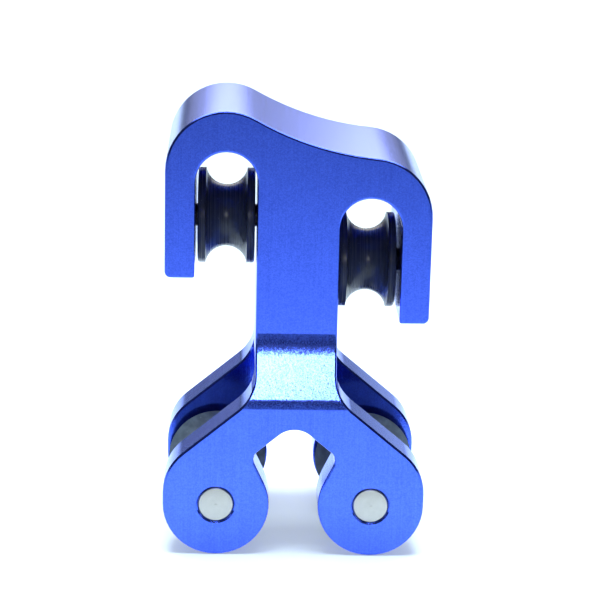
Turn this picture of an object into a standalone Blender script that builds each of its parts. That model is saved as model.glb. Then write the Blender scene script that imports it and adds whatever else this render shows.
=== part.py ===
"""Roller cable slide for a compound bow.

A one-piece milled aluminium body rides on a round guard rod.  The forked lower
end straddles the rod, which rolls on two grooved wheels.  Each of the two hooks
at the top holds a small grooved roller that carries one bow cable.

+X points right, +Y away from the front face and +Z up.  The origin is the centre
of the footprint, at the height of the surface that the slide stands on.
"""

import math

import bmesh
import bpy
from mathutils import Matrix, Vector

MM = 0.001

# Lower fork: two plates, with two round lobes on each.
WHEEL_SPACING = 15.5 * MM
LOBE_RADIUS = 5.3 * MM
LOBE_RISE = 1.3 * MM             # straight side between a lobe's lower and upper arc
FORK_DEPTH = 19.8 * MM           # over both plates, along Y
PLATE_THICKNESS = 4.35 * MM
ARM_ANGLE = math.radians(39.7)   # slope of the arms that join the lobes to the stem
ARM_WIDTH = 4.6 * MM
ARM_FILLET = 4.4 * MM            # between an arm's upper edge and the stem
ARCH_RADIUS = 2.4 * MM           # crotch between the two arms
NOTCH_RADIUS = 1.0 * MM          # relief where an arm meets its lobe
NOTCH_HALF_WIDTH = 4.05 * MM

# Guard rod and the wheels that roll on it.
ROD_DIAMETER = 9.53 * MM
ROD_TOP_CLEARANCE = 0.85 * MM
WHEEL_RADIUS = 5.1 * MM
WHEEL_WIDTH = 10.5 * MM
WHEEL_NECK_RADIUS = 2.55 * MM
WHEEL_GROOVE_RADIUS = 4.9 * MM
WHEEL_PIN_RADIUS = 1.74 * MM
WHEEL_PIN_RECESS = 0.1 * MM
CHANNEL_CORNER = 1.0 * MM

# Stem and upper block.
BLOCK_DEPTH = 16.3 * MM
STEM_HALF_WIDTH = 4.03 * MM
RAMP_BOTTOM = 10.50 * MM         # above the wheel axes, like all heights below
RAMP_TOP = 16.6 * MM
RAMP_TOP_FILLET = 12.2 * MM
RAMP_BOTTOM_FILLET = 6.4 * MM
RAMP_CREASE = math.radians(5)    # where a ramp's fillet meets the flat above or below it

# Hooks and cable rollers, given for the left one; the right one is lower.
HOOK_DROP = 4.37 * MM
HOOK_RADIUS = 5.9 * MM
HOOK_CENTRE_HEIGHT = 33.6 * MM
HOOK_TIP_HEIGHT = 22.92 * MM
HOOK_TIP_ROUNDING = 0.6 * MM
SADDLE_RADIUS = 30.0 * MM        # hollow of the top edge between the hooks
SLOT_RADIUS = 3.05 * MM
SLOT_ARCH_HEIGHT = 32.45 * MM
ROLLER_HEIGHT = 27.42 * MM
ROLLER_RADIUS = 4.8 * MM
ROLLER_WIDTH = 5.7 * MM
ROLLER_NECK_RADIUS = 3.1 * MM
ROLLER_GROOVE_RADIUS = 2.1 * MM
AXLE_RADIUS = 1.15 * MM
AXLE_HEAD_RADIUS = 2.0 * MM
AXLE_HEAD_LENGTH = 1.6 * MM
AXLE_HEAD_RECESS = 0.25 * MM
AXLE_DEPTH_IN_STEM = 3.2 * MM
AXLE_SOCKET_RADIUS = 0.9 * MM
AXLE_SOCKET_DEPTH = 0.9 * MM

# Fits and edges.
FIXED_GAP = 0.05 * MM            # around pins that stay put in the body
RUNNING_GAP = 0.08 * MM          # around pins that a wheel or roller turns on
EDGE_CHAMFER = 0.25 * MM         # on the rims of wheels and rollers
PIN_CHAMFER = 0.12 * MM
HOLE_CHAMFER = 0.18 * MM
CUT_MARGIN = 1.0 * MM            # how far a cutter stands past what it cuts
WELD = 0.001 * MM

# Fineness of round shapes.
ARC_STEP = math.radians(7.5)
GROOVE_STEP = math.radians(12)
RAMP_STEP = math.radians(3)
LONGEST_CHORD = 1.2 * MM
TURN_STEPS = 36

HALF_WIDTH = WHEEL_SPACING / 2 + LOBE_RADIUS
WHEEL_AXIS_HEIGHT = LOBE_RADIUS
SLOT_X = STEM_HALF_WIDTH + SLOT_RADIUS
TOP_HEIGHT = HOOK_CENTRE_HEIGHT + HOOK_RADIUS
CHANNEL_HALF_WIDTH = FORK_DEPTH / 2 - PLATE_THICKNESS
CHANNEL_ROOF = WHEEL_NECK_RADIUS + ROD_DIAMETER + ROD_TOP_CLEARANCE


# ---------------------------------------------------------------- outlines

def polar(centre, radius, angle):
    """The point at an angle on a circle."""
    return (centre[0] + radius * math.cos(angle), centre[1] + radius * math.sin(angle))


def arc(centre, radius, start, end, step=ARC_STEP):
    """Points along a circular arc, both ends included."""
    turn = abs(end - start)
    count = max(2, math.ceil(turn / step), math.ceil(turn * radius / LONGEST_CHORD))
    return [polar(centre, radius, start + (end - start) * i / count) for i in range(count + 1)]


def fillet(corner, before, after, radius, step=ARC_STEP):
    """Points of a tangent arc that rounds the corner between two neighbours."""
    corner = Vector(corner)
    towards = (Vector(before) - corner).normalized()
    away = (Vector(after) - corner).normalized()
    half = towards.angle(away) / 2
    centre = corner + (towards + away).normalized() * radius / math.sin(half)
    start = corner + towards * radius / math.tan(half) - centre
    end = corner + away * radius / math.tan(half) - centre
    first = math.atan2(start.y, start.x)
    turn = (math.atan2(end.y, end.x) - first + math.pi) % math.tau - math.pi
    return arc(centre, radius, first, first + turn, step)


def creased_fillet(corner, flat, ramp, radius):
    """Points of an arc that leaves a flat at a faint crease and runs smoothly into a ramp."""
    corner = Vector(corner)
    along_flat = (Vector(flat) - corner).normalized()
    along_ramp = (Vector(ramp) - corner).normalized()
    turn = math.pi - along_flat.angle(along_ramp)
    reach = radius * math.tan((turn - RAMP_CREASE) / 2)
    start = corner + along_flat * reach * math.sin(turn - RAMP_CREASE) / math.sin(turn)
    bend = corner + along_ramp * reach * math.sin(RAMP_CREASE) / math.sin(turn)
    return fillet(bend, start, ramp, radius, RAMP_STEP)


def left_fork_outline():
    """The left arm and lobe, from the stem's side down to the middle of the crotch."""
    up = math.pi / 2 + ARM_ANGLE
    slope = math.tan(ARM_ANGLE)
    pin = (-WHEEL_SPACING / 2, 0)
    shoulder = (pin[0], LOBE_RISE)
    arm_start = polar(shoulder, LOBE_RADIUS, up)
    stem_corner = (-STEM_HALF_WIDTH, arm_start[1] + (-STEM_HALF_WIDTH - arm_start[0]) * slope)
    stem_above = (-STEM_HALF_WIDTH, stem_corner[1] + ARM_FILLET)

    # The arm's lower edge runs parallel to its upper edge, and ends in the arch.
    crotch_height = stem_corner[1] + STEM_HALF_WIDTH * slope - ARM_WIDTH / math.cos(ARM_ANGLE)
    arch_centre = (0, crotch_height - ARCH_RADIUS / math.cos(ARM_ANGLE))
    notch_x = -NOTCH_HALF_WIDTH + NOTCH_RADIUS
    notch = (notch_x, crotch_height + notch_x * slope - NOTCH_RADIUS / math.cos(ARM_ANGLE))

    # The straight between lobe and notch touches both circles.
    to_notch = math.atan2(notch[1] - pin[1], notch[0] - pin[0])
    spread = math.acos((LOBE_RADIUS + NOTCH_RADIUS) / math.dist(pin, notch))
    leave = to_notch - spread

    return (
        fillet(stem_corner, stem_above, arm_start, ARM_FILLET)
        + arc(shoulder, LOBE_RADIUS, up, math.pi)
        + arc(pin, LOBE_RADIUS, math.pi, 1.5 * math.pi)
        + arc(pin, LOBE_RADIUS, 1.5 * math.pi, math.tau + leave)[1:]
        + arc(notch, NOTCH_RADIUS, math.pi + leave, up)
        + arc(arch_centre, ARCH_RADIUS, up, math.pi / 2)
    )


def hook_outline(side, drop):
    """One hook from its outer side to the stem, in the order of the left hook."""
    centre = (-SLOT_X, SLOT_ARCH_HEIGHT - drop)
    tip = HOOK_TIP_HEIGHT - drop
    rounding = (-HALF_WIDTH + HOOK_TIP_ROUNDING, tip + HOOK_TIP_ROUNDING)
    points = arc(rounding, HOOK_TIP_ROUNDING, math.pi, 1.5 * math.pi)
    points.append((-SLOT_X - SLOT_RADIUS, tip))
    points += arc(centre, SLOT_RADIUS, math.pi, 0)
    if side > 0:
        points = mirrored(points)
    return points


def mirrored(points):
    """The same points on the other side, in the opposite order."""
    return [(-x, z) for x, z in reversed(points)]


def crown_outline():
    """The top edge from right to left: shoulder, saddle and shoulder."""
    left = (-HALF_WIDTH + HOOK_RADIUS, HOOK_CENTRE_HEIGHT)
    right = (HALF_WIDTH - HOOK_RADIUS, HOOK_CENTRE_HEIGHT - HOOK_DROP)
    apart = math.dist(left, right)
    middle = ((left[0] + right[0]) / 2, (left[1] + right[1]) / 2)
    rise = math.sqrt((SADDLE_RADIUS + HOOK_RADIUS) ** 2 - (apart / 2) ** 2)
    normal = ((left[1] - right[1]) / apart, (right[0] - left[0]) / apart)
    saddle = (middle[0] + rise * normal[0], middle[1] + rise * normal[1])
    right_touch = math.atan2(saddle[1] - right[1], saddle[0] - right[0])
    left_touch = math.atan2(saddle[1] - left[1], saddle[0] - left[0])
    return (
        arc(right, HOOK_RADIUS, 0, right_touch)
        + arc(saddle, SADDLE_RADIUS, math.pi + right_touch, math.pi + left_touch)[1:-1]
        + arc(left, HOOK_RADIUS, left_touch, math.pi / 2)
        + arc(left, HOOK_RADIUS, math.pi / 2, math.pi)[1:]
    )


def body_outline():
    """The whole front silhouette, anticlockwise, heights above the wheel axes."""
    left_fork = left_fork_outline()
    return (
        hook_outline(-1, 0)
        + left_fork
        + mirrored(left_fork)[1:]
        + hook_outline(1, HOOK_DROP)
        + crown_outline()
    )


def front_relief_outline():
    """What is cut off the front above the fork, as points (depth, height)."""
    face = -BLOCK_DEPTH / 2
    fork = -FORK_DEPTH / 2
    above = TOP_HEIGHT + CUT_MARGIN
    ramp_top = (face, RAMP_TOP)
    ramp_bottom = (fork, RAMP_BOTTOM)
    return (
        [(face, above)]
        + creased_fillet(ramp_top, (face, above), ramp_bottom, RAMP_TOP_FILLET)
        + creased_fillet(ramp_bottom, (fork, 0), ramp_top, RAMP_BOTTOM_FILLET)[::-1]
        + [(fork - CUT_MARGIN, RAMP_BOTTOM - CUT_MARGIN), (fork - CUT_MARGIN, above)]
    )


# ---------------------------------------------------------------- building blocks

def make_collection(name):
    """A new collection in the scene."""
    collection = bpy.data.collections.new(name)
    bpy.context.scene.collection.children.link(collection)
    return collection


def linear(value):
    """One display colour channel, 0 to 255, as the linear value a shader takes."""
    value = value / 255
    return value / 12.92 if value <= 0.04045 else ((value + 0.055) / 1.055) ** 2.4


def make_material(name, colour, roughness, metallic):
    """A plain Principled material from a display colour."""
    material = bpy.data.materials.new(name)
    material.use_nodes = True
    shader = material.node_tree.nodes["Principled BSDF"]
    shader.inputs["Base Color"].default_value = (*[linear(channel) for channel in colour], 1)
    shader.inputs["Roughness"].default_value = roughness
    shader.inputs["Metallic"].default_value = metallic
    return material


def extruded(name, outline, half_depth, collection, side_on=False):
    """A flat outline with thickness: (X, Z) points along Y, or (Y, Z) points along X."""
    curve = bpy.data.curves.new(name, "CURVE")
    curve.dimensions = "2D"
    curve.fill_mode = "BOTH"
    curve.extrude = half_depth
    spline = curve.splines.new("POLY")
    spline.points.add(len(outline) - 1)
    for point, (across, height) in zip(spline.points, outline):
        point.co = (across, height, 0, 1)
    spline.use_cyclic_u = True

    flat = bpy.data.objects.new(name + "_outline", curve)
    collection.objects.link(flat)
    flat.rotation_euler = (math.pi / 2, 0, math.pi / 2 if side_on else 0)
    flat.location.z = WHEEL_AXIS_HEIGHT
    bpy.context.view_layer.update()

    evaluated = flat.evaluated_get(bpy.context.evaluated_depsgraph_get())
    mesh = bpy.data.meshes.new_from_object(evaluated)
    mesh.name = name
    work = bmesh.new()
    work.from_mesh(mesh)
    bmesh.ops.remove_doubles(work, verts=work.verts, dist=WELD)
    bmesh.ops.recalc_face_normals(work, faces=work.faces)
    work.to_mesh(mesh)
    work.free()
    solid = bpy.data.objects.new(name, mesh)
    solid.matrix_world = flat.matrix_world.copy()
    collection.objects.link(solid)
    bpy.data.objects.remove(flat)
    return solid


def turned(name, profile, collection, closed):
    """A turned piece about its own Z axis, from (radius, height) points, top to bottom."""
    mesh = bpy.data.meshes.new(name)
    edges = [(i, i + 1) for i in range(len(profile) - 1)]
    if closed:
        edges.append((len(profile) - 1, 0))
    mesh.from_pydata([(radius, 0, height) for radius, height in profile], edges, [])
    piece = bpy.data.objects.new(name, mesh)
    collection.objects.link(piece)
    screw = piece.modifiers.new("turn", "SCREW")
    screw.steps = TURN_STEPS
    screw.render_steps = TURN_STEPS
    screw.use_merge_vertices = True
    screw.merge_threshold = WELD
    screw.use_smooth_shade = True
    return piece


def lay_along(piece, axis, location):
    """Turn a piece so that its own Z axis points along the given axis, and place it."""
    piece.rotation_euler = Vector(axis).to_track_quat("Z", "Y").to_euler()
    piece.location = location


def cut(piece, cutter):
    """Subtract a cutter from a piece and hide the cutter."""
    boolean = piece.modifiers.new("cut_" + cutter.name, "BOOLEAN")
    boolean.operation = "DIFFERENCE"
    boolean.solver = "EXACT"
    boolean.object = cutter
    cutter.hide_render = True
    cutter.display_type = "WIRE"


# ---------------------------------------------------------------- the pieces

def spool_profile(radius, half_width, neck_radius, groove_radius, bore_radius):
    """A grooved wheel: flat rims with chamfers, a round groove and a bore."""
    groove_centre = (neck_radius + groove_radius, 0)
    opening = math.acos((groove_centre[0] - radius) / groove_radius)
    groove = arc(groove_centre, groove_radius, math.pi - opening, math.pi + opening, GROOVE_STEP)
    return (
        [(bore_radius, half_width), (radius - EDGE_CHAMFER, half_width)]
        + [(radius, half_width - EDGE_CHAMFER)]
        + groove
        + [(radius, -half_width + EDGE_CHAMFER)]
        + [(radius - EDGE_CHAMFER, -half_width), (bore_radius, -half_width)]
    )


def make_body(collection, cutters):
    """The milled body: silhouette, front and back relief, rod channel and holes."""
    body = extruded("body", body_outline(), FORK_DEPTH / 2, collection)

    reach = HALF_WIDTH + CUT_MARGIN
    front = front_relief_outline()
    back = [(-depth, height) for depth, height in reversed(front)]
    cut(body, extruded("front_relief", front, reach, cutters, side_on=True))
    cut(body, extruded("back_relief", back, reach, cutters, side_on=True))

    bottom = -LOBE_RADIUS - CUT_MARGIN
    low = [(CHANNEL_HALF_WIDTH, bottom), (-CHANNEL_HALF_WIDTH, bottom)]
    roof = [(-CHANNEL_HALF_WIDTH, CHANNEL_ROOF), (CHANNEL_HALF_WIDTH, CHANNEL_ROOF)]
    channel = (
        low[:1]
        + fillet(roof[1], low[0], roof[0], CHANNEL_CORNER)
        + fillet(roof[0], roof[1], low[1], CHANNEL_CORNER)
        + low[1:]
    )
    cut(body, extruded("rod_channel", channel, reach, cutters, side_on=True))

    for name, side in (("left", -1), ("right", 1)):
        hole = turned("wheel_pin_hole_" + name, wheel_pin_hole_profile(), cutters, closed=False)
        lay_along(hole, (0, 1, 0), (side * WHEEL_SPACING / 2, 0, WHEEL_AXIS_HEIGHT))
        cut(body, hole)
        hole = turned("axle_hole_" + name, axle_profile(FIXED_GAP, CUT_MARGIN), cutters, closed=False)
        lay_along(hole, (side, 0, 0), (side * HALF_WIDTH, 0, roller_height(side)))
        cut(body, hole)
    return body


def roller_height(side):
    """Height of a cable roller's axis above the ground; the right one is lower."""
    return WHEEL_AXIS_HEIGHT + ROLLER_HEIGHT - (HOOK_DROP if side > 0 else 0)


def wheel_pin_hole_profile():
    """The hole through both plates, with a chamfer at each outer face."""
    radius = WHEEL_PIN_RADIUS + FIXED_GAP
    mouth = FORK_DEPTH / 2
    wide = radius + HOLE_CHAMFER + CUT_MARGIN
    return [
        (0, mouth + CUT_MARGIN),
        (wide, mouth + CUT_MARGIN),
        (radius, mouth - HOLE_CHAMFER),
        (radius, -mouth + HOLE_CHAMFER),
        (wide, -mouth - CUT_MARGIN),
        (0, -mouth - CUT_MARGIN),
    ]


def axle_profile(gap, past):
    """A roller axle with its sunk head, measured inwards from the hook's outer side."""
    head_end = -AXLE_HEAD_RECESS - AXLE_HEAD_LENGTH - gap
    tip = -(HALF_WIDTH - STEM_HALF_WIDTH) - AXLE_DEPTH_IN_STEM - gap
    top = past if past else -AXLE_HEAD_RECESS
    return [
        (0, top),
        (AXLE_HEAD_RADIUS + gap, top),
        (AXLE_HEAD_RADIUS + gap, head_end),
        (AXLE_RADIUS + gap, head_end),
        (AXLE_RADIUS + gap, tip),
        (0, tip),
    ]


def make_wheel_pin(name, collection, side):
    """A chamfered dowel that one rod wheel turns on."""
    end = FORK_DEPTH / 2 - WHEEL_PIN_RECESS
    profile = [
        (0, end),
        (WHEEL_PIN_RADIUS - PIN_CHAMFER, end),
        (WHEEL_PIN_RADIUS, end - PIN_CHAMFER),
        (WHEEL_PIN_RADIUS, -end + PIN_CHAMFER),
        (WHEEL_PIN_RADIUS - PIN_CHAMFER, -end),
        (0, -end),
    ]
    pin = turned(name, profile, collection, closed=False)
    lay_along(pin, (0, 1, 0), (side * WHEEL_SPACING / 2, 0, WHEEL_AXIS_HEIGHT))
    return pin


def make_rod_wheel(name, collection, side):
    """A wheel with a groove that fits the guard rod."""
    bore = WHEEL_PIN_RADIUS + RUNNING_GAP
    profile = spool_profile(
        WHEEL_RADIUS, WHEEL_WIDTH / 2, WHEEL_NECK_RADIUS, WHEEL_GROOVE_RADIUS, bore)
    wheel = turned(name, profile, collection, closed=True)
    lay_along(wheel, (0, 1, 0), (side * WHEEL_SPACING / 2, 0, WHEEL_AXIS_HEIGHT))
    return wheel


def make_cable_roller(name, collection, side):
    """A small roller with a groove that fits a bow cable."""
    bore = AXLE_RADIUS + RUNNING_GAP
    profile = spool_profile(
        ROLLER_RADIUS, ROLLER_WIDTH / 2, ROLLER_NECK_RADIUS, ROLLER_GROOVE_RADIUS, bore)
    roller = turned(name, profile, collection, closed=True)
    lay_along(roller, (1, 0, 0), (side * SLOT_X, 0, roller_height(side)))
    return roller


def make_axle(name, collection, cutters, side):
    """The screw that a cable roller turns on, with a hexagon socket in its head."""
    axle = turned(name, axle_profile(0, 0), collection, closed=False)
    location = Vector((side * HALF_WIDTH, 0, roller_height(side)))
    lay_along(axle, (side, 0, 0), location)

    mesh = bpy.data.meshes.new(name + "_socket")
    work = bmesh.new()
    bmesh.ops.create_cone(
        work, cap_ends=True, segments=6, radius1=AXLE_SOCKET_RADIUS, radius2=AXLE_SOCKET_RADIUS,
        depth=2 * AXLE_SOCKET_DEPTH, matrix=Matrix.Translation((0, 0, -AXLE_HEAD_RECESS)))
    work.to_mesh(mesh)
    work.free()
    socket = bpy.data.objects.new(name + "_socket", mesh)
    cutters.objects.link(socket)
    lay_along(socket, (side, 0, 0), location)
    cut(axle, socket)
    return axle


def main():
    """Build every piece in its place."""
    for leftover in list(bpy.data.objects):
        bpy.data.objects.remove(leftover)
    pieces = make_collection("roller_cable_slide")
    cutters = make_collection("cutters")

    anodised = make_material("blue_anodised_aluminium", (62, 96, 226), 0.4, 0.9)
    polymer = make_material("black_polymer", (34, 39, 46), 0.35, 0)
    wheel_polymer = make_material("grey_black_polymer", (60, 68, 70), 0.5, 0)
    steel = make_material("ground_steel", (200, 206, 212), 0.35, 1)
    black_steel = make_material("blackened_steel", (30, 31, 34), 0.35, 0.8)

    made = {anodised: [make_body(pieces, cutters)]}
    for material in (polymer, wheel_polymer, steel, black_steel):
        made[material] = []
    for name, side in (("left", -1), ("right", 1)):
        made[polymer].append(make_cable_roller("cable_roller_" + name, pieces, side))
        made[black_steel].append(make_axle("roller_axle_" + name, pieces, cutters, side))
        made[wheel_polymer].append(make_rod_wheel("rod_wheel_" + name, pieces, side))
        made[steel].append(make_wheel_pin("wheel_pin_" + name, pieces, side))
    for material, group in made.items():
        for piece in group:
            piece.data.materials.append(material)


main()
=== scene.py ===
"""Looks of a roller cable slide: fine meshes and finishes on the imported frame."""

import math

import bmesh
import bpy
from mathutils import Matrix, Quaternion, Vector


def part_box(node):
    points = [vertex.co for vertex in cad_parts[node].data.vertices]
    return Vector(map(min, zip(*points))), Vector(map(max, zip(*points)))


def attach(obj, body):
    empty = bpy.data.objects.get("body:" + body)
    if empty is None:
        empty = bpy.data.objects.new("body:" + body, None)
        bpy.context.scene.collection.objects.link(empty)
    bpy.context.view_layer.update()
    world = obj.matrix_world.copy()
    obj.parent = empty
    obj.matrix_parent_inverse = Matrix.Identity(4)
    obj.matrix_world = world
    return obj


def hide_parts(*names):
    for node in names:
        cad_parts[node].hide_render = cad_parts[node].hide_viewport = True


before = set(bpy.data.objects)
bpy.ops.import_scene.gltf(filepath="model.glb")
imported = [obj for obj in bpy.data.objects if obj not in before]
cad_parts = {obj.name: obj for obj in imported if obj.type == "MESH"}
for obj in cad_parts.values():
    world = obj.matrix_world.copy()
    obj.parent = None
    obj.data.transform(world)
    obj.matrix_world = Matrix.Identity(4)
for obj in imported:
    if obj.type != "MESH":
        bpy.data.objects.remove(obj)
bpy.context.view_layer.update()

bl_info = {
    "name": "Roller cable slide",
    "version": (1, 0, 0),
    "blender": (4, 5, 0),
    "location": "3D View > Sidebar > Cable slide",
    "description": "Builds the fine pieces and finishes of a bow's roller cable slide",
    "category": "Object",
}

MM = 0.001
SIDES = ("left", "right")

# Fineness of the meshes.
ROUND_STEPS = 96                      # round a full circle
ROUNDING_SEGMENTS = 3                 # across a rounded rim
WELD = 0.001 * MM                     # points closer than this are one
FLAT_ANGLE = math.radians(0.5)        # faces that turn by less are one
SHARP_ANGLE = math.radians(25)        # edges that turn by more look sharp
SQUARE_ANGLE = math.radians(80)       # edges that turn by more are square corners
ALONG_AXIS = 0.9                      # a normal's part along an axis that it looks along

# Finishes on the body, in the order of its material slots.
FACED, MILLED, BLASTED = range(3)
FLAT_FACE = 0.9995                    # a flat face's normal along Y, at least
RAMP_FACE = 0.5                       # a ramp's normal along Y, at least
PIN_HOLE_ROOM = 2.6 * MM              # edges this near a pin's axis belong to its hole
SHORT_EDGE = 0.4                      # edges under this part of the edge break are closed up

# Anodised aluminium.
GRAIN_SIZE = 0.1 * MM
STREAK_WIDTH = 0.12 * MM
STREAK_STRETCH = 0.01                 # a streak is a hundred times as long as it is wide
STREAK_DEPTH = 0.002 * MM
BLOTCH_SIZE = 1.6 * MM
BLOTCH_CONTRAST = 0.2
DYE_RANGE = (0.65, 1.35)              # darkest and lightest part of the dye's colour
STREAK_ROUGHNESS = 0.08
OXIDE_TINT = (0.82, 0.88, 1, 1)       # reflections at a grazing angle
OXIDE_COAT = 0.12
OXIDE_COAT_ROUGHNESS = 0.15
OXIDE_IOR = 1.5

# Turned acetal.
POLYMER_RING_WIDTH = 0.09 * MM
POLYMER_RING_DEPTH = 0.0003 * MM
POLYMER_RING_CONTRAST = 0.08
POLYMER_RING_ROUGHNESS = 0.08
DUST_SIZE = 0.3 * MM
DUST_LEVEL = 0.66                     # noise above this is a speck
DUST_EDGE = 12                        # how sharply a speck begins
SPECK_PALENESS = 0.7
SPECK_ROUGHNESS = 0.2
SPECK_HEIGHT = 0.2                    # beside a ring's height of 1
SMUDGE_SIZE = 1.3 * MM
SMUDGE_LEVEL = 0.45                   # noise above this is a smudge
PALEST_POLYMER = 3.2                  # how much lighter a speck is than the polymer
POLYMER_REFLECTION = 0.25

# Turned steel.
STEEL_RING_WIDTH = 0.12 * MM
STEEL_RING_DEPTH = 0.004 * MM
STEEL_RING_DARKNESS = 0.35
STAIN_SIZE = 0.9 * MM
STAIN_DARKNESS = 0.65
STAIN_ROUGHNESS = 0.2
STEEL_RANGE = (1.12, 0.8)             # lightest and darkest part of the steel's colour

# Stage.
FLOOR_SIZE = 6                        # metres
FLOOR_COLOUR = (0.4, 0.5, 0.58, 1)
FLOOR_ROUGHNESS = 0.6
FLOOR_REFLECTION = 0.3
# Painted light: the floor emits light though it is no lamp, brightest in a pale blue pool under the
# object that lifts the object's shadow.
PAINTED_LIGHT_RADIUS = 75 * MM
PAINTED_LIGHT_AWAY = (0.12, 0.14, 0.15, 1)
PAINTED_LIGHT_UNDER_OBJECT = (0.78, 0.9, 1, 1)
PAINTED_LIGHT_STRENGTH = 0.42
ROOM_COLOUR = (0.9, 0.95, 1, 1)
LIGHTS_AIM = (0, 0, 22 * MM)          # near the middle of the object
SENSOR_WIDTH = 36                     # millimetres
NEAREST_SEEN = 10 * MM


# ---------------------------------------------------------------- shader maths

class Signal:
    """A number that varies over a surface, so that node maths reads as ordinary sums."""

    def __init__(self, paint, socket):
        self.paint = paint
        self.socket = socket

    def maths(self, operation, *values, clamp=False):
        """A Math node on signals and plain numbers."""
        node = self.paint.node("ShaderNodeMath", {"operation": operation, "use_clamp": clamp},
                               dict(enumerate(values)))
        return Signal(self.paint, node.outputs[0])

    def __add__(self, other):
        return self.maths("ADD", self, other)

    __radd__ = __add__

    def __sub__(self, other):
        return self.maths("SUBTRACT", self, other)

    def __rsub__(self, other):
        return self.maths("SUBTRACT", other, self)

    def __mul__(self, other):
        return self.maths("MULTIPLY", self, other)

    __rmul__ = __mul__

    def __pow__(self, other):
        return self.maths("POWER", self, other)

    def clamped(self):
        """The same number, held between 0 and 1."""
        return self.maths("ADD", self, 0, clamp=True)


class Paint:
    """The node tree of one material or world."""

    def __init__(self, owner):
        self.tree = owner.node_tree
        self.tree.nodes.clear()

    def node(self, kind, settings=None, inputs=None):
        """Add a node: its settings first, then values or links for its sockets."""
        node = self.tree.nodes.new(kind)
        for name, value in (settings or {}).items():
            setattr(node, name, value)
        for name, value in (inputs or {}).items():
            if isinstance(value, Signal):
                self.tree.links.new(value.socket, node.inputs[name])
            elif isinstance(value, bpy.types.NodeSocket):
                self.tree.links.new(value, node.inputs[name])
            else:
                node.inputs[name].default_value = value
        return node

    def place(self, centre=(0, 0, 0), factors=(1, 1, 1)):
        """Object coordinates about a centre, each multiplied by its factor."""
        where = self.node("ShaderNodeTexCoord").outputs["Object"]
        shifted = self.node("ShaderNodeVectorMath", {"operation": "SUBTRACT"},
                            {0: where, 1: centre})
        scaled = self.node("ShaderNodeVectorMath", {"operation": "MULTIPLY"},
                           {0: shifted.outputs[0], 1: factors})
        return scaled.outputs[0]

    def split(self, vector):
        """The three parts of a vector as signals."""
        node = self.node("ShaderNodeSeparateXYZ", inputs={0: vector})
        return [Signal(self, output) for output in node.outputs]

    def noise(self, vector, size, detail=2, roughness=0.5):
        """Smooth noise from 0 to 1, with patches of a size in metres."""
        node = self.node("ShaderNodeTexNoise", inputs={
            "Vector": vector, "Scale": 1 / size, "Detail": detail, "Roughness": roughness})
        return Signal(self, node.outputs["Fac"])

    def rings(self, centre, axis, width):
        """Noise in rings about an axis through a centre, as turning leaves them."""
        x, y, z = self.split(self.place(centre))
        along, across = (x, y) if axis == "X" else (y, x)
        radius = (across * across + z * z) ** 0.5
        profile = self.node("ShaderNodeCombineXYZ", inputs={0: along, 1: radius})
        return self.noise(profile.outputs[0], width)

    def mix(self, factor, first, second):
        """A colour between two colours."""
        node = self.node("ShaderNodeMix", {"data_type": "RGBA"}, {0: factor, 6: first, 7: second})
        return node.outputs[2]

    def grains(self, size, tilt):
        """Small random cells: a shade for each, and a normal that leans by up to half the tilt."""
        cells = self.node("ShaderNodeTexVoronoi", {"feature": "F1"}, {
            "Vector": self.place(), "Scale": 1 / size}).outputs["Color"]
        centred = self.node("ShaderNodeVectorMath", {"operation": "SUBTRACT"},
                            {0: cells, 1: (0.5, 0.5, 0.5)})
        lean = self.node("ShaderNodeVectorMath", {"operation": "SCALE"},
                         {0: centred.outputs[0], "Scale": tilt})
        upright = self.node("ShaderNodeNewGeometry").outputs["Normal"]
        leaned = self.node("ShaderNodeVectorMath", {"operation": "ADD"},
                           {0: upright, 1: lean.outputs[0]})
        unit = self.node("ShaderNodeVectorMath", {"operation": "NORMALIZE"},
                         {0: leaned.outputs[0]})
        return self.split(cells)[0], unit.outputs[0]

    def bump(self, height, depth, normal=None):
        """A normal from a height signal, where 1 stands for a depth in metres."""
        inputs = {"Height": height, "Distance": depth}
        if normal is not None:
            inputs["Normal"] = normal
        return self.node("ShaderNodeBump", inputs=inputs).outputs["Normal"]

    def surface(self, **inputs):
        """The Principled shader and the output, with constants set on the shader's own sockets."""
        names = {name.replace("_", " ").title().replace("Ior", "IOR"): value
                 for name, value in inputs.items()}
        shader = self.node("ShaderNodeBsdfPrincipled", inputs=names)
        self.node("ShaderNodeOutputMaterial", inputs={"Surface": shader.outputs[0]})


def new_material(name):
    """An empty node material and the paint for it."""
    material = bpy.data.materials.new(name)
    material.use_nodes = True
    return material, Paint(material)


def shade(colour, factor=1):
    """An opaque colour, made lighter or darker."""
    return (*[min(channel * factor, 1) for channel in colour[:3]], 1)


# ---------------------------------------------------------------- finishes

def anodised_finish(name, colour, roughness, grain, tilt, streak, streak_along):
    """Dyed anodised aluminium: blasted grains, each tilted a little, and streaks along one axis."""
    material, paint = new_material(name)
    shade_of_grain, tilted = paint.grains(GRAIN_SIZE, tilt)
    blotches = paint.noise(paint.place(), BLOTCH_SIZE)
    factors = [STREAK_STRETCH if axis == streak_along else 1 for axis in "XYZ"]
    streaks = paint.noise(paint.place(factors=factors), STREAK_WIDTH)
    light = (0.5 + (shade_of_grain - 0.5) * grain + (streaks - 0.5) * streak
             + (blotches - 0.5) * BLOTCH_CONTRAST).clamped()
    darkest, lightest = DYE_RANGE
    paint.surface(
        base_color=paint.mix(light, shade(colour, darkest), shade(colour, lightest)),
        metallic=1,
        roughness=(roughness + (streaks - 0.5) * STREAK_ROUGHNESS).clamped(),
        specular_tint=OXIDE_TINT,
        coat_weight=OXIDE_COAT,
        coat_roughness=OXIDE_COAT_ROUGHNESS,
        coat_ior=OXIDE_IOR,
        normal=paint.bump(streaks * streak, STREAK_DEPTH, normal=tilted),
    )
    return material


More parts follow.
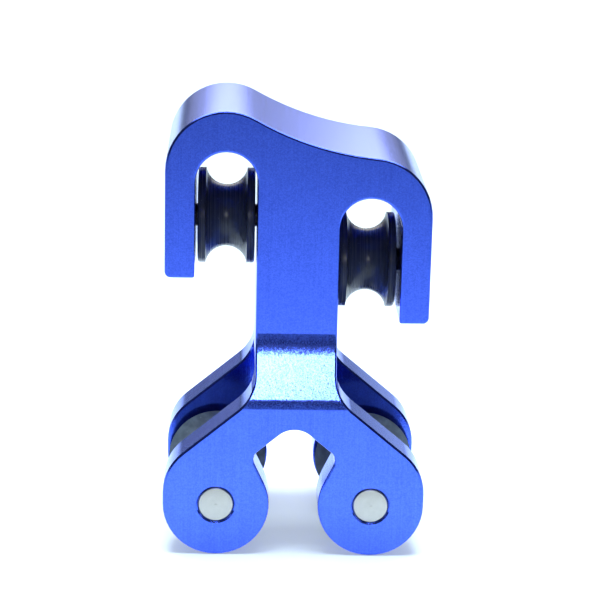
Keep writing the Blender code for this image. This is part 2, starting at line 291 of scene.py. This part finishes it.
def turned_polymer_finish(name, colour, roughness, centre, axis, smudging):
    """Acetal off the lathe: fine rings about the axis, smudges, and a little dust."""
    material, paint = new_material(name)
    rings = paint.rings(centre, axis, POLYMER_RING_WIDTH)
    dust = paint.noise(paint.place(centre), DUST_SIZE, detail=3, roughness=0.7)
    specks = ((dust - DUST_LEVEL) * DUST_EDGE).clamped()
    smudges = paint.noise(paint.place(centre), SMUDGE_SIZE, detail=4, roughness=0.6)
    pale = (specks * SPECK_PALENESS + rings * POLYMER_RING_CONTRAST
            + (smudges - SMUDGE_LEVEL) * smudging).clamped()
    paint.surface(
        base_color=paint.mix(pale, shade(colour), shade(colour, PALEST_POLYMER)),
        roughness=(roughness + (rings - 0.5) * POLYMER_RING_ROUGHNESS
                   + specks * SPECK_ROUGHNESS).clamped(),
        specular_ior_level=POLYMER_REFLECTION,
        normal=paint.bump(rings + specks * SPECK_HEIGHT, POLYMER_RING_DEPTH),
    )
    return material


def steel_finish(name, colour, roughness, centre, axis, tarnish=0):
    """Turned steel: rings about the axis, stains and slight tarnish."""
    material, paint = new_material(name)
    rings = paint.rings(centre, axis, STEEL_RING_WIDTH)
    stains = paint.noise(paint.place(centre), STAIN_SIZE, detail=4, roughness=0.6)
    dark = (rings * STEEL_RING_DARKNESS + stains * (STAIN_DARKNESS + tarnish)).clamped()
    lightest, darkest = STEEL_RANGE
    paint.surface(
        base_color=paint.mix(dark, shade(colour, lightest), shade(colour, darkest)),
        metallic=1,
        roughness=(roughness + (stains - 0.5) * STAIN_ROUGHNESS).clamped(),
        normal=paint.bump(rings, STEEL_RING_DEPTH),
    )
    return material


# ---------------------------------------------------------------- modelling by hand

def edit(piece, mode="VERT"):
    """Go into edit mode on one piece, with nothing selected."""
    bpy.ops.object.select_all(action="DESELECT")
    bpy.context.view_layer.objects.active = piece
    piece.select_set(True)
    bpy.ops.object.mode_set(mode="EDIT")
    bpy.ops.mesh.select_mode(type=mode)
    bpy.ops.mesh.select_all(action="DESELECT")


def pick(piece, kind, test):
    """Select the vertices, edges or faces of the edited piece that pass a test."""
    work = bmesh.from_edit_mesh(piece.data)
    bpy.ops.mesh.select_all(action="DESELECT")
    for element in getattr(work, kind):
        if test(element):
            element.select_set(True)
    bmesh.update_edit_mesh(piece.data)


def start_piece(name, add, **settings):
    """Add a primitive as the start of a piece."""
    bpy.ops.object.select_all(action="DESELECT")
    add(**settings)
    piece = bpy.context.active_object
    piece.name = name
    piece.data.name = name
    return piece


def extrude_to(piece, start, *stops):
    """Extrude one profile vertex through a row of stops, given as (radius, height)."""
    here = Vector((start[0], 0, start[1]))
    pick(piece, "verts", lambda vert: (vert.co - here).length < WELD)
    for radius, height in stops:
        step = Vector((radius, 0, height)) - here
        bpy.ops.mesh.extrude_region_move(TRANSFORM_OT_translate={"value": step})
        here += step


def spin_profile():
    """Turn the edited piece's profile about the Z axis into a closed solid."""
    bpy.ops.mesh.select_all(action="SELECT")
    bpy.ops.mesh.spin(steps=ROUND_STEPS, angle=math.tau, center=(0, 0, 0), axis=(0, 0, 1))
    bpy.ops.mesh.select_all(action="SELECT")
    bpy.ops.mesh.remove_doubles(threshold=WELD)
    bpy.ops.mesh.normals_make_consistent(inside=False)
    bpy.ops.object.mode_set(mode="OBJECT")


def settle(piece, body, node, slot, *materials):
    """Fix a finished piece in place: shading, materials, its body and the node it stands for."""
    bpy.ops.object.select_all(action="DESELECT")
    bpy.context.view_layer.objects.active = piece
    piece.select_set(True)
    bpy.ops.object.transform_apply(location=True, rotation=True, scale=True)
    bpy.ops.object.shade_smooth_by_angle(angle=SHARP_ANGLE)
    piece.data.materials.clear()
    for material in materials:
        piece.data.materials.append(material)
    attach(piece, body)
    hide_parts(node)


def axis_rotation(axis, way):
    """The turn that lays a piece's own Z axis along X or Y, forwards (1) or backwards (-1)."""
    direction = (way, 0, 0) if axis == "X" else (0, way, 0)
    return Vector(direction).to_track_quat("Z", "Y").to_euler()


def middle(node):
    """The centre of a CAD node's box."""
    low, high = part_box(node)
    return (low + high) / 2


def span(node):
    """The size of a CAD node's box."""
    low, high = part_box(node)
    return high - low


def place_pair(piece, kind, axis, ways=(1, 1)):
    """Place a piece that was modelled about the Z axis, and a copy with its own mesh, as a pair."""
    name = piece.name
    twin = piece.copy()
    twin.data = piece.data.copy()
    bpy.context.scene.collection.objects.link(twin)
    pair = []
    for side, member, way in zip(SIDES, (piece, twin), ways):
        node = f"{kind}_{side}"
        member.name = f"{name}_{side}"
        member.data.name = member.name
        member.rotation_euler = axis_rotation(axis, way)
        member.location = middle(node)
        pair.append((member, node))
    return pair


def model_spool(name, size, axis, neck_radius, groove_radius, bore_radius, rounding):
    """A grooved roller: an arc for the groove, rims and bore extruded from it, then a full spin."""
    width = size.x if axis == "X" else size.y
    radius = size.z / 2
    half = width / 2
    centre = neck_radius + groove_radius
    opening = math.sqrt(groove_radius ** 2 - (centre - radius) ** 2)

    piece = start_piece(
        name, bpy.ops.mesh.primitive_circle_add, vertices=ROUND_STEPS, radius=groove_radius,
        fill_type="NOTHING", location=(0, 0, 0), rotation=(0, 0, 0))
    edit(piece)
    bpy.ops.mesh.select_all(action="SELECT")
    bpy.ops.transform.rotate(value=math.pi / 2, orient_axis="X", center_override=(0, 0, 0))
    bpy.ops.transform.translate(value=(centre, 0, 0))
    bpy.ops.mesh.bisect(
        plane_co=(radius, 0, 0), plane_no=(1, 0, 0), clear_outer=True, threshold=WELD)
    bore_edge = 2 * rounding
    extrude_to(
        piece, (radius, opening), (radius, half), (bore_radius + bore_edge, half),
        (bore_radius, half - bore_edge), (bore_radius, -half + bore_edge),
        (bore_radius + bore_edge, -half), (radius, -half), (radius, -opening))
    bpy.ops.mesh.select_all(action="SELECT")
    bpy.ops.mesh.remove_doubles(threshold=WELD)
    for height, width_of_round in ((half, 2 * rounding), (opening, rounding)):
        pick(piece, "verts", lambda vert: abs(vert.co.x - radius) < WELD
             and abs(abs(vert.co.z) - height) < WELD)
        bpy.ops.mesh.bevel(
            offset=width_of_round, offset_type="OFFSET", segments=ROUNDING_SEGMENTS,
            affect="VERTICES")
    spin_profile()
    return piece


# ---------------------------------------------------------------- settings

class BodySettings(bpy.types.PropertyGroup):
    """Sizes and colours of the milled body."""

    edge_break: bpy.props.FloatProperty(
        name="Edge break", description="Width of the deburred edges",
        default=0.2 * MM, min=0, unit="LENGTH")
    channel_width: bpy.props.FloatProperty(
        name="Channel width", description="Room between the fork's two plates",
        default=11.1 * MM, min=0, unit="LENGTH")
    colour: bpy.props.FloatVectorProperty(
        name="Anodising", description="Colour of the dyed oxide layer",
        default=(0.07, 0.14, 1.0), subtype="COLOR", size=3, min=0, max=1)
    face_roughness: bpy.props.FloatProperty(
        name="Face roughness", description="Roughness of the front and back faces",
        default=0.15, min=0, max=1, subtype="FACTOR")
    milled_roughness: bpy.props.FloatProperty(
        name="Milled roughness", description="Roughness of the milled sides",
        default=0.17, min=0, max=1, subtype="FACTOR")
    blasted_roughness: bpy.props.FloatProperty(
        name="Blasted roughness", description="Roughness of the ramps and broken edges",
        default=0.17, min=0, max=1, subtype="FACTOR")


class SpoolSettings(bpy.types.PropertyGroup):
    """Sizes and colours of the rollers and wheels."""

    roller_neck: bpy.props.FloatProperty(
        name="Roller neck", description="Radius at the bottom of a cable roller's groove",
        default=3.1 * MM, min=0, unit="LENGTH")
    roller_groove: bpy.props.FloatProperty(
        name="Roller groove", description="Radius of a cable roller's groove",
        default=2.1 * MM, min=0, unit="LENGTH")
    roller_bore: bpy.props.FloatProperty(
        name="Roller bore", description="Radius of a cable roller's bore",
        default=1.23 * MM, min=0, unit="LENGTH")
    roller_colour: bpy.props.FloatVectorProperty(
        name="Roller colour", description="Colour of the cable rollers",
        default=(0.022, 0.027, 0.05), subtype="COLOR", size=3, min=0, max=1)
    roller_roughness: bpy.props.FloatProperty(
        name="Roller roughness", description="Roughness of the cable rollers",
        default=0.27, min=0, max=1, subtype="FACTOR")
    wheel_neck: bpy.props.FloatProperty(
        name="Wheel neck", description="Radius at the bottom of a rod wheel's groove",
        default=2.55 * MM, min=0, unit="LENGTH")
    wheel_groove: bpy.props.FloatProperty(
        name="Wheel groove", description="Radius of a rod wheel's groove",
        default=4.9 * MM, min=0, unit="LENGTH")
    wheel_bore: bpy.props.FloatProperty(
        name="Wheel bore", description="Radius of a rod wheel's bore",
        default=1.82 * MM, min=0, unit="LENGTH")
    wheel_colour: bpy.props.FloatVectorProperty(
        name="Wheel colour", description="Colour of the rod wheels",
        default=(0.082, 0.112, 0.15), subtype="COLOR", size=3, min=0, max=1)
    wheel_roughness: bpy.props.FloatProperty(
        name="Wheel roughness", description="Roughness of the rod wheels",
        default=0.4, min=0, max=1, subtype="FACTOR")
    rounding: bpy.props.FloatProperty(
        name="Rim rounding", description="Rounding of the rims",
        default=0.12 * MM, min=0, unit="LENGTH")


class PinSettings(bpy.types.PropertyGroup):
    """Sizes and colours of the pins and axles."""

    pin_colour: bpy.props.FloatVectorProperty(
        name="Pin colour", description="Colour of the ground steel",
        default=(0.50, 0.49, 0.46), subtype="COLOR", size=3, min=0, max=1)
    pin_roughness: bpy.props.FloatProperty(
        name="Pin roughness", description="Roughness of the ground steel",
        default=0.34, min=0, max=1, subtype="FACTOR")
    pin_rounding: bpy.props.FloatProperty(
        name="Pin rounding", description="Rounding of a dowel's ends",
        default=0.12 * MM, min=0, unit="LENGTH")
    centre_mark: bpy.props.FloatProperty(
        name="Centre mark", description="Radius of the mark in a dowel's end",
        default=0.1 * MM, min=0, unit="LENGTH")
    axle_colour: bpy.props.FloatVectorProperty(
        name="Axle colour", description="Colour of the blackened steel",
        default=(0.03, 0.031, 0.035), subtype="COLOR", size=3, min=0, max=1)
    axle_roughness: bpy.props.FloatProperty(
        name="Axle roughness", description="Roughness of the blackened steel",
        default=0.3, min=0, max=1, subtype="FACTOR")
    head_rounding: bpy.props.FloatProperty(
        name="Head rounding", description="Rounding of an axle head's rim",
        default=0.12 * MM, min=0, unit="LENGTH")
    head_length: bpy.props.FloatProperty(
        name="Head length", description="Length of an axle's head",
        default=1.6 * MM, min=0, unit="LENGTH")
    shank_radius: bpy.props.FloatProperty(
        name="Shank radius", description="Radius of an axle's shank",
        default=1.15 * MM, min=0, unit="LENGTH")
    socket_radius: bpy.props.FloatProperty(
        name="Socket radius", description="Radius over the corners of an axle's hexagon socket",
        default=0.9 * MM, min=0, unit="LENGTH")
    socket_depth: bpy.props.FloatProperty(
        name="Socket depth", description="Depth of an axle's hexagon socket",
        default=0.9 * MM, min=0, unit="LENGTH")


class StageSettings(bpy.types.PropertyGroup):
    """The camera and the light."""

    target: bpy.props.FloatVectorProperty(
        name="Target", description="What the camera looks at",
        default=(0.53 * MM, 0, 23.89 * MM), subtype="TRANSLATION", size=3)
    distance: bpy.props.FloatProperty(
        name="Distance", description="From the camera to the target",
        default=220.4 * MM, min=0, unit="LENGTH")
    pitch: bpy.props.FloatProperty(
        name="Pitch", description="How far the camera looks down",
        default=math.radians(15.72), subtype="ANGLE")
    yaw: bpy.props.FloatProperty(
        name="Yaw", description="How far the camera looks to the right",
        default=math.radians(1.84), subtype="ANGLE")
    roll: bpy.props.FloatProperty(
        name="Roll", description="How far the camera leans to the left",
        default=math.radians(1.32), subtype="ANGLE")
    lens: bpy.props.FloatProperty(
        name="Lens", description="Focal length in millimetres on a 36 mm sensor",
        default=129.5, min=1)
    overhead_power: bpy.props.FloatProperty(
        name="Overhead light", description="Power of the softbox overhead, in watts",
        default=0.66, min=0)
    backdrop_power: bpy.props.FloatProperty(
        name="Backdrop light", description="Power of the softbox behind, in watts",
        default=2.25, min=0)
    skirt_power: bpy.props.FloatProperty(
        name="Skirt light", description="Power of the dim panel below the backdrop, in watts",
        default=0.2, min=0)
    sweep_power: bpy.props.FloatProperty(
        name="Sweep light", description="Power of the light on the floor behind, in watts",
        default=4.6, min=0)
    side_power: bpy.props.FloatProperty(
        name="Side lights", description="Power of each softbox at the sides, in watts",
        default=0.25, min=0)
    front_power: bpy.props.FloatProperty(
        name="Front light", description="Power of the small softbox by the camera, in watts",
        default=0.29, min=0)
    ambient: bpy.props.FloatProperty(
        name="Ambient", description="Brightness of the dim room",
        default=0.06, min=0)


# ---------------------------------------------------------------- operators

class CABLESLIDE_OT_body(bpy.types.Operator):
    """Make the milled body with broken edges and anodised finishes"""

    bl_idname = "cable_slide.body"
    bl_label = "Body"
    bl_options = {"REGISTER", "UNDO"}

    def execute(self, context):
        settings = context.scene.cable_slide_body
        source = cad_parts["body"]
        piece = source.copy()
        piece.data = source.data.copy()
        piece.parent = None
        for key in list(piece.keys()):    # marks of a CAD node, which this copy isn't
            del piece[key]
        context.scene.collection.objects.link(piece)
        piece.name = "slide_body"
        piece.data.name = "slide_body"

        edit(piece, "EDGE")
        bpy.ops.mesh.select_all(action="SELECT")
        bpy.ops.mesh.remove_doubles(threshold=WELD)
        bpy.ops.mesh.dissolve_limited(angle_limit=FLAT_ANGLE)
        holes = [middle("wheel_pin_" + side) for side in SIDES]
        channel = settings.channel_width / 2 - WELD
        pick(piece, "edges", lambda edge: self.is_outline(edge, holes, channel))
        bpy.ops.mesh.remove_doubles(threshold=SHORT_EDGE * settings.edge_break)
        pick(piece, "edges", lambda edge: self.is_outline(edge, holes, channel))
        bpy.ops.mesh.bevel(
            offset=settings.edge_break, offset_type="OFFSET", segments=2, profile=0.5,
            loop_slide=False, material=BLASTED)
        bpy.ops.object.mode_set(mode="OBJECT")

        faced = anodised_finish(
            "anodised_face", settings.colour, settings.face_roughness,
            grain=0.5, tilt=0.02, streak=0.5, streak_along="Z")
        milled = anodised_finish(
            "anodised_milled", settings.colour, settings.milled_roughness,
            grain=0.1, tilt=0, streak=0.3, streak_along="Y")
        blasted = anodised_finish(
            "anodised_blasted", settings.colour, settings.blasted_roughness,
            grain=0.4, tilt=0.045, streak=0, streak_along="Z")
        settle(piece, "frame", "body", "blue_anodised", faced, milled, blasted)
        self.sort_faces(piece)
        edit(piece, "EDGE")
        pick(piece, "edges", self.is_finish_border)
        bpy.ops.mesh.mark_sharp()
        bpy.ops.object.mode_set(mode="OBJECT")
        weighted = piece.modifiers.new("even_shading", "WEIGHTED_NORMAL")
        weighted.keep_sharp = True
        weighted.weight = 100
        bpy.ops.object.modifier_apply(modifier=weighted.name)
        return {"FINISHED"}

    @staticmethod
    def is_outline(edge, holes, channel):
        """A sharp edge round the front or the back, outside the rod channel and the pin holes."""
        if len(edge.link_faces) != 2 or edge.calc_face_angle() < SHARP_ANGLE:
            return False
        spot = (edge.verts[0].co + edge.verts[1].co) / 2
        if any(math.hypot(spot.x - hole.x, spot.z - hole.z) < PIN_HOLE_ROOM for hole in holes):
            return False
        return all(abs(vert.co.y) > channel for vert in edge.verts)

    @staticmethod
    def is_finish_border(edge):
        """An edge between a faced flat and a blasted ramp or broken edge."""
        return {face.material_index for face in edge.link_faces} == {FACED, BLASTED}

    @staticmethod
    def sort_faces(piece):
        """Give faced flats, milled sides and blasted ramps their own finish; broken edges have it."""
        for face in piece.data.polygons:
            facing = abs(face.normal.y)
            if face.material_index == BLASTED or RAMP_FACE < facing < FLAT_FACE:
                face.material_index = BLASTED
            elif facing >= FLAT_FACE:
                face.material_index = FACED
            else:
                face.material_index = MILLED


class CABLESLIDE_OT_cable_rollers(bpy.types.Operator):
    """Turn the two grooved rollers that carry the bow cables"""

    bl_idname = "cable_slide.cable_rollers"
    bl_label = "Cable rollers"
    bl_options = {"REGISTER", "UNDO"}

    def execute(self, context):
        settings = context.scene.cable_slide_spools
        roller = model_spool(
            "turned_cable_roller", span("cable_roller_left"), "X", settings.roller_neck,
            settings.roller_groove, settings.roller_bore, settings.rounding)
        for piece, node in place_pair(roller, "cable_roller", "X"):
            finish = turned_polymer_finish(
                "acetal_" + node, settings.roller_colour, settings.roller_roughness,
                middle(node), "X", smudging=0.2)
            settle(piece, node, node, "black_polymer", finish)
        return {"FINISHED"}


class CABLESLIDE_OT_rod_wheels(bpy.types.Operator):
    """Turn the two grooved wheels that roll on the guard rod"""

    bl_idname = "cable_slide.rod_wheels"
    bl_label = "Rod wheels"
    bl_options = {"REGISTER", "UNDO"}

    def execute(self, context):
        settings = context.scene.cable_slide_spools
        wheel = model_spool(
            "turned_rod_wheel", span("rod_wheel_left"), "Y", settings.wheel_neck,
            settings.wheel_groove, settings.wheel_bore, settings.rounding)
        for piece, node in place_pair(wheel, "rod_wheel", "Y"):
            finish = turned_polymer_finish(
                "acetal_" + node, settings.wheel_colour, settings.wheel_roughness,
                middle(node), "Y", smudging=0.9)
            settle(piece, node, node, "grey_black_polymer", finish)
        return {"FINISHED"}


class CABLESLIDE_OT_wheel_pins(bpy.types.Operator):
    """Make the two ground dowel pins with faced ends and centre marks"""

    bl_idname = "cable_slide.wheel_pins"
    bl_label = "Wheel pins"
    bl_options = {"REGISTER", "UNDO"}

    def execute(self, context):
        settings = context.scene.cable_slide_pins
        pin = self.model_pin("ground_wheel_pin", span("wheel_pin_left"), settings)
        for piece, node in place_pair(pin, "wheel_pin", "Y"):
            finish = steel_finish(
                "steel_" + node, settings.pin_colour, settings.pin_roughness, middle(node), "Y")
            settle(piece, "frame", node, "ground_steel", finish)
        return {"FINISHED"}

    @staticmethod
    def model_pin(name, size, settings):
        """A dowel along Z with rounded edges and a small dimple in each end."""
        half = size.y / 2
        radius = size.z / 2
        mark_slope = 0.35 * settings.centre_mark
        mark_depth = 0.4 * settings.centre_mark
        piece = start_piece(
            name, bpy.ops.mesh.primitive_cylinder_add, vertices=ROUND_STEPS, radius=radius,
            depth=size.y, location=(0, 0, 0))
        edit(piece, "FACE")
        pick(piece, "faces", lambda face: abs(face.normal.z) > ALONG_AXIS)
        bpy.ops.mesh.inset(thickness=radius - settings.centre_mark, use_individual=True)
        for end in (-1, 1):
            pick(piece, "faces", lambda face: len(face.verts) == ROUND_STEPS
                 and face.normal.z * end > ALONG_AXIS)
            bpy.ops.mesh.inset(thickness=mark_slope)
            bpy.ops.transform.translate(value=(0, 0, -end * mark_depth))
        pick(piece, "edges", lambda edge: edge.calc_face_angle(0) > SQUARE_ANGLE
             and abs(edge.verts[0].co.z) > half - WELD)
        bpy.ops.mesh.bevel(
            offset=settings.pin_rounding, offset_type="OFFSET", segments=ROUNDING_SEGMENTS,
            affect="EDGES")
        bpy.ops.object.mode_set(mode="OBJECT")
        return piece


class CABLESLIDE_OT_roller_axles(bpy.types.Operator):
    """Make the two axle screws with sunk socket heads"""

    bl_idname = "cable_slide.roller_axles"
    bl_label = "Roller axles"
    bl_options = {"REGISTER", "UNDO"}

    def execute(self, context):
        settings = context.scene.cable_slide_pins
        axle = self.model_axle("screw_roller_axle", span("roller_axle_left"), settings)
        for piece, node in place_pair(axle, "roller_axle", "X", ways=(-1, 1)):
            finish = steel_finish(
                "steel_" + node, settings.axle_colour, settings.axle_roughness, middle(node), "X",
                tarnish=0.2)
            settle(piece, "frame", node, "blackened_steel", finish)
        return {"FINISHED"}

    @staticmethod
    def model_axle(name, size, settings):
        """Head up along Z: a hexagon socket, the head, and the shank below it."""
        top = size.x / 2
        head_radius = size.z / 2
        piece = start_piece(
            name, bpy.ops.mesh.primitive_cylinder_add, vertices=ROUND_STEPS, radius=head_radius,
            depth=settings.head_length, location=(0, 0, top - settings.head_length / 2))
        bpy.ops.object.transform_apply(location=True, rotation=True, scale=True)
        edit(piece, "FACE")

        pick(piece, "faces", lambda face: face.normal.z < -ALONG_AXIS)
        bpy.ops.mesh.inset(thickness=head_radius - settings.shank_radius)
        bpy.ops.mesh.extrude_region_move(TRANSFORM_OT_translate={
            "value": (0, 0, -(size.x - settings.head_length))})

        pick(piece, "faces", lambda face: face.normal.z > ALONG_AXIS)
        bpy.ops.mesh.delete(type="FACE")
        bpy.ops.mesh.primitive_circle_add(
            vertices=6, radius=settings.socket_radius, fill_type="NGON",
            location=(0, 0, top - settings.socket_depth))
        bpy.ops.mesh.flip_normals()
        bpy.ops.mesh.extrude_region_move(TRANSFORM_OT_translate={
            "value": (0, 0, settings.socket_depth)})
        bpy.ops.mesh.delete(type="ONLY_FACE")
        pick(piece, "edges", lambda edge: edge.is_boundary)
        bpy.ops.mesh.bridge_edge_loops()
        pick(piece, "edges", lambda edge: edge.calc_face_angle(0) > SQUARE_ANGLE
             and all(abs(vert.co.xy.length - head_radius) < WELD for vert in edge.verts)
             and abs(edge.verts[0].co.z - top) < WELD)
        bpy.ops.mesh.bevel(
            offset=settings.head_rounding, offset_type="OFFSET", segments=ROUNDING_SEGMENTS,
            affect="EDGES")
        bpy.ops.mesh.select_all(action="SELECT")
        bpy.ops.mesh.normals_make_consistent(inside=False)
        bpy.ops.object.mode_set(mode="OBJECT")
        return piece


class CABLESLIDE_OT_stage(bpy.types.Operator):
    """Set up the floor, the soft light and the camera"""

    bl_idname = "cable_slide.stage"
    bl_label = "Stage"
    bl_options = {"REGISTER", "UNDO"}

    def execute(self, context):
        settings = context.scene.cable_slide_stage
        context.scene.view_settings.view_transform = "Standard"
        self.lay_floor()
        self.light(context, settings)
        self.aim_camera(context, settings)
        return {"FINISHED"}

    @staticmethod
    def lay_floor():
        """A plain pale floor that emits light though it is no lamp: painted light, brightest in a
        pool under the object that lifts its shadow.
        """
        floor = start_piece(
            "floor", bpy.ops.mesh.primitive_plane_add, size=FLOOR_SIZE, location=(0, 0, 0))
        material, paint = new_material("pale_floor")
        x, y = paint.split(paint.place(factors=(1 / PAINTED_LIGHT_RADIUS,) * 3))[:2]
        painted_light_pool = (1 - (x * x + y * y)).clamped() ** 2
        # Emission paints light on the floor: a pale blue pool under the object, fainter away from it.
        paint.surface(
            base_color=FLOOR_COLOUR,
            roughness=FLOOR_ROUGHNESS,
            specular_ior_level=FLOOR_REFLECTION,
            emission_color=paint.mix(painted_light_pool, PAINTED_LIGHT_AWAY, PAINTED_LIGHT_UNDER_OBJECT),
            emission_strength=PAINTED_LIGHT_STRENGTH,
        )
        floor.data.materials.append(material)

    @classmethod
    def light(cls, context, settings):
        """A dim room with softboxes overhead, behind, at the sides and by the camera."""
        world = bpy.data.worlds.new("studio")
        world.use_nodes = True
        context.scene.world = world
        paint = Paint(world)
        background = paint.node("ShaderNodeBackground", inputs={
            "Color": ROOM_COLOUR, "Strength": settings.ambient})
        paint.node("ShaderNodeOutputWorld", inputs={"Surface": background.outputs[0]})
        cls.softbox(
            "overhead", settings.overhead_power, size=(0.15, 0.14), elevation=90, distance=0.228,
            spread=110)
        cls.softbox(
            "backdrop", settings.backdrop_power, size=(0.9, 0.34), elevation=156, distance=0.75)
        cls.softbox(
            "skirt", settings.skirt_power, size=(0.9, 0.16), elevation=171.5, distance=0.75)
        cls.softbox(
            "front", settings.front_power, size=(0.08, 0.06), elevation=15.2, distance=0.5)
        for side, azimuth in zip(SIDES, (-90, 90)):
            cls.softbox(
                side, settings.side_power, size=(0.3, 0.3), elevation=30, distance=0.5,
                azimuth=azimuth)
        sweep = cls.softbox(
            "sweep", settings.sweep_power, size=(1, 0.3), elevation=135, distance=0.6, spread=110)
        sweep.rotation_euler = (0, 0, 0)    # straight down on the floor behind

    @staticmethod
    def softbox(name, power, size, elevation, distance, azimuth=0, spread=180):
        """A light turned towards the object, with its size and distance in metres and its angles
        in degrees. Elevation goes up from the front and over to the back."""
        bpy.ops.object.light_add(type="AREA")
        lamp = bpy.context.active_object
        lamp.name = name + "_softbox"
        lamp.data.shape = "RECTANGLE"
        lamp.data.size, lamp.data.size_y = size
        lamp.data.energy = power
        lamp.data.spread = math.radians(spread)
        lamp.visible_camera = False
        angle = math.radians(elevation)
        towards = Vector((0, -math.cos(angle), math.sin(angle)))
        towards.rotate(Quaternion((0, 0, 1), math.radians(azimuth)))
        lamp.location = Vector(LIGHTS_AIM) + towards * distance
        lamp.rotation_euler = towards.to_track_quat("Z", "Y").to_euler()
        return lamp

    @staticmethod
    def aim_camera(context, settings):
        """A long lens in front, looking slightly down."""
        bpy.ops.object.camera_add()
        camera = context.active_object
        camera.name = "front_camera"
        camera.data.lens = settings.lens
        camera.data.sensor_width = SENSOR_WIDTH
        camera.data.clip_start = NEAREST_SEEN
        forward = Vector((
            math.sin(settings.yaw) * math.cos(settings.pitch),
            math.cos(settings.yaw) * math.cos(settings.pitch),
            -math.sin(settings.pitch)))
        level = forward.to_track_quat("-Z", "Y")
        camera.rotation_euler = (level @ Quaternion((0, 0, 1), settings.roll)).to_euler()
        camera.location = Vector(settings.target) - forward * settings.distance
        context.scene.camera = camera


class CABLESLIDE_PT_panel(bpy.types.Panel):
    """Buttons and settings of the cable slide"""

    bl_idname = "CABLESLIDE_PT_panel"
    bl_label = "Cable slide"
    bl_space_type = "VIEW_3D"
    bl_region_type = "UI"
    bl_category = "Cable slide"

    def draw(self, context):
        for operator in OPERATORS:
            self.layout.operator(operator.bl_idname)
        for name in SETTINGS:
            group = getattr(context.scene, name)
            box = self.layout.box()
            for prop in group.bl_rna.properties:
                if prop.identifier not in ("rna_type", "name"):
                    box.prop(group, prop.identifier)


SETTINGS = {
    "cable_slide_body": BodySettings,
    "cable_slide_spools": SpoolSettings,
    "cable_slide_pins": PinSettings,
    "cable_slide_stage": StageSettings,
}
OPERATORS = (
    CABLESLIDE_OT_body,
    CABLESLIDE_OT_cable_rollers,
    CABLESLIDE_OT_rod_wheels,
    CABLESLIDE_OT_wheel_pins,
    CABLESLIDE_OT_roller_axles,
    CABLESLIDE_OT_stage,
)


def register():
    for cls in (*SETTINGS.values(), *OPERATORS, CABLESLIDE_PT_panel):
        bpy.utils.register_class(cls)
    for name, cls in SETTINGS.items():
        setattr(bpy.types.Scene, name, bpy.props.PointerProperty(type=cls))


def unregister():
    for name in SETTINGS:
        delattr(bpy.types.Scene, name)
    for cls in reversed((*SETTINGS.values(), *OPERATORS, CABLESLIDE_PT_panel)):
        bpy.utils.unregister_class(cls)


def main():
    """Register and make every piece in order."""
    register()
    bpy.ops.cable_slide.body()
    bpy.ops.cable_slide.cable_rollers()
    bpy.ops.cable_slide.rod_wheels()
    bpy.ops.cable_slide.wheel_pins()
    bpy.ops.cable_slide.roller_axles()
    bpy.ops.cable_slide.stage()


if __name__ == "__main__":
    main()
